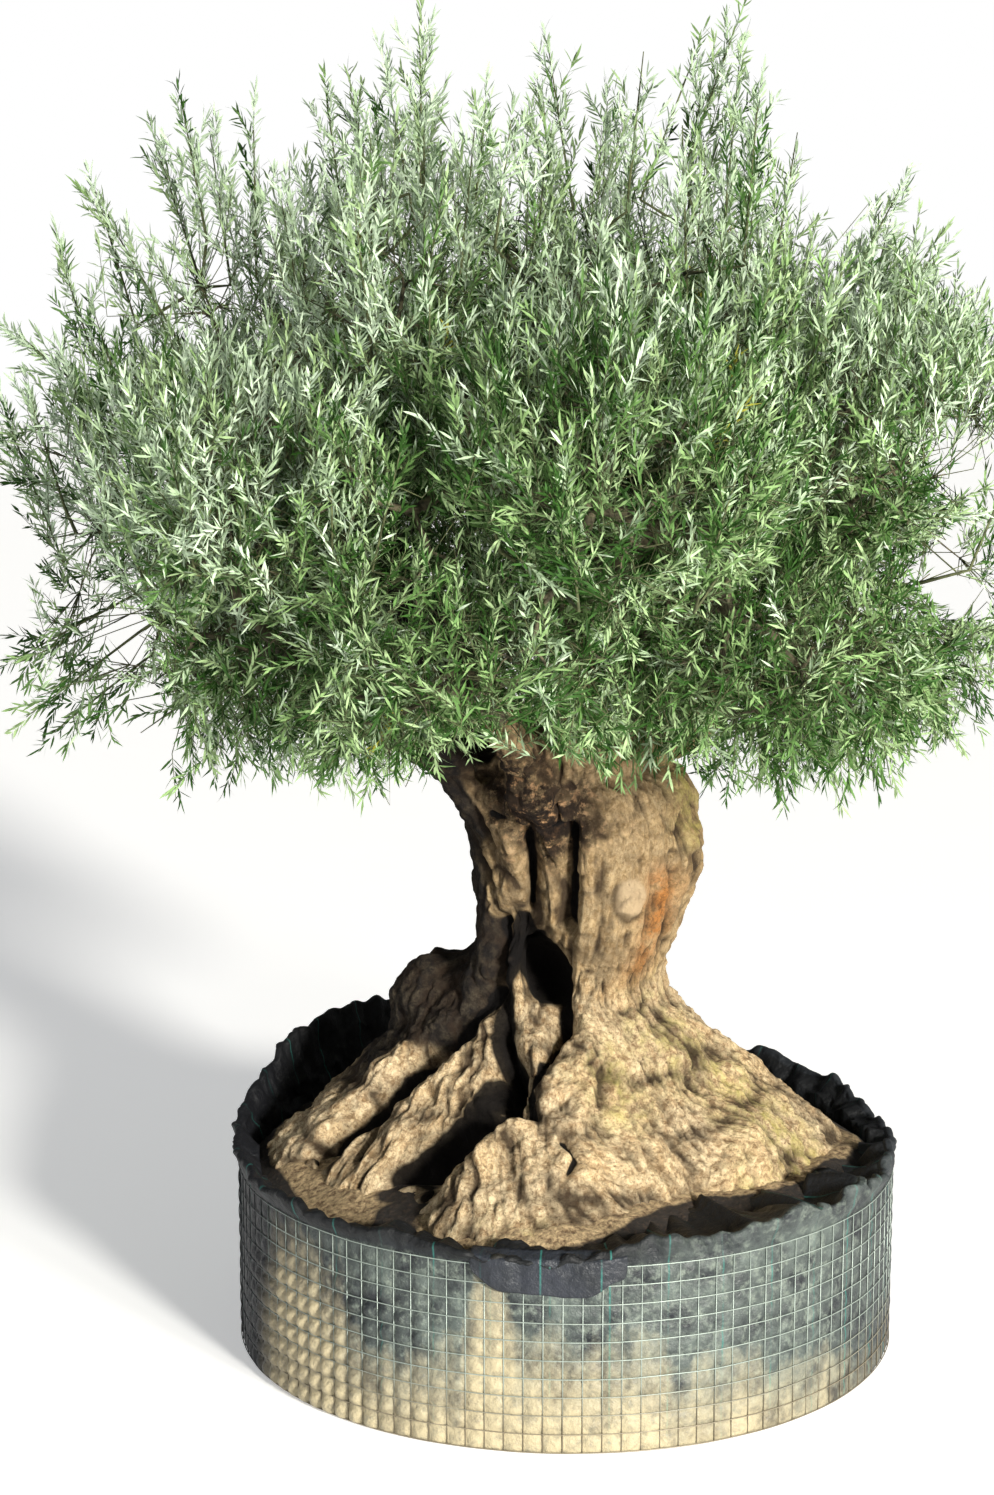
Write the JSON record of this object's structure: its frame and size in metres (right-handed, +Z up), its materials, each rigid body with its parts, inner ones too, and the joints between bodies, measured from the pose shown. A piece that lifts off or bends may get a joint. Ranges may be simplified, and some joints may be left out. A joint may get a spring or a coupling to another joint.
{
  "type": "ancient olive tree in a root-ball container",
  "caption": "Old olive tree with a ribbed root flare and a dense silvery crown, standing in a round container of welded wire lined with woven plastic.",
  "frame": {"origin": "middle of the container's flat underside, on the ground", "axes": "+Z up the tree, +X to the right and -Y to the front as the tree is seen from its front"},
  "size_m": [2.771, 2.7116, 3.605],
  "materials": {
    "earth": "packed dark earth, matt and crumbly",
    "woven_plastic": "black-green woven tape with a soft sheen, creased and dusty",
    "galvanised_wire": "dull galvanised",
    "bark": "rough weathered bark, tan and grey, with dark cracks",
    "limb": "grey-brown bark, smoother than the trunk",
    "leaf": "leathery, grey-green above and silvery below"
  },
  "bodies": {
    "root": {"bough_1": "limb", "bough_10": "limb", "bough_2": "limb", "bough_3": "limb", "bough_4": "limb", "bough_5": "limb", "bough_6": "limb", "bough_7": "limb", "bough_8": "limb", "bough_9": "limb", "fabric_wrap": "woven_plastic", "foliage_belt_1": "leaf", "foliage_belt_2": "leaf", "foliage_belt_3": "leaf", "foliage_belt_4": "leaf", "foliage_belt_5": "leaf", "foliage_belt_6": "leaf", "foliage_belt_7": "leaf", "foliage_shoulder_1": "leaf", "foliage_shoulder_2": "leaf", "foliage_shoulder_3": "leaf", "foliage_shoulder_4": "leaf", "foliage_shoulder_5": "leaf", "foliage_shoulder_6": "leaf", "foliage_skirt_1": "leaf", "foliage_skirt_2": "leaf", "foliage_skirt_3": "leaf", "foliage_skirt_4": "leaf", "foliage_skirt_5": "leaf", "foliage_skirt_6": "leaf", "foliage_skirt_7": "leaf", "foliage_top_1": "leaf", "foliage_top_2": "leaf", "root_ball": "earth", "trunk": "bark", "wire_cage": "galvanised_wire"}
  },
  "joints": []
}
